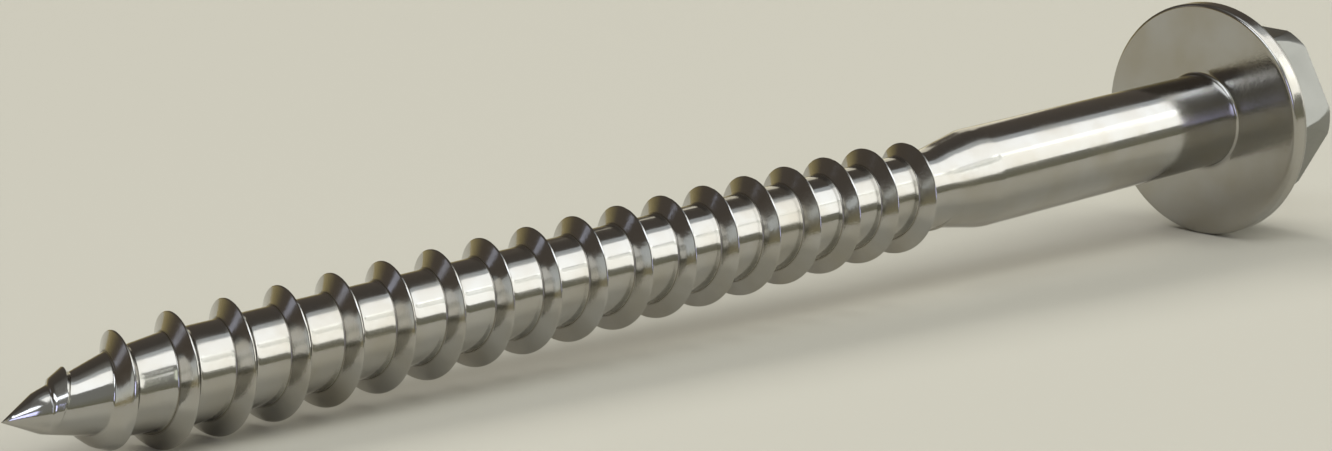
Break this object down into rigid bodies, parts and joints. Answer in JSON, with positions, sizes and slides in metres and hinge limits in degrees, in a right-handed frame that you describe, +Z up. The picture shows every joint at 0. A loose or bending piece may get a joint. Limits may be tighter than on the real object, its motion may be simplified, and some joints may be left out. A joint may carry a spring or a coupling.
{
  "type": "flanged lag screw",
  "caption": "Steel lag screw with a flanged hexagon head, plain shank and coarse left-hand thread on a gimlet point.",
  "frame": {"origin": "bottom centre of the box that holds the screw as it lies on its side", "axes": "+Z up; the screw's axis runs along +X from point to head and leans 3.26 degrees up toward the head, as it does when flange rim and thread touch the ground"},
  "size_m": [0.1394, 0.023, 0.0231],
  "materials": {
    "steel": "polished"
  },
  "bodies": {
    "root": {"lag_screw": "steel"}
  },
  "joints": []
}
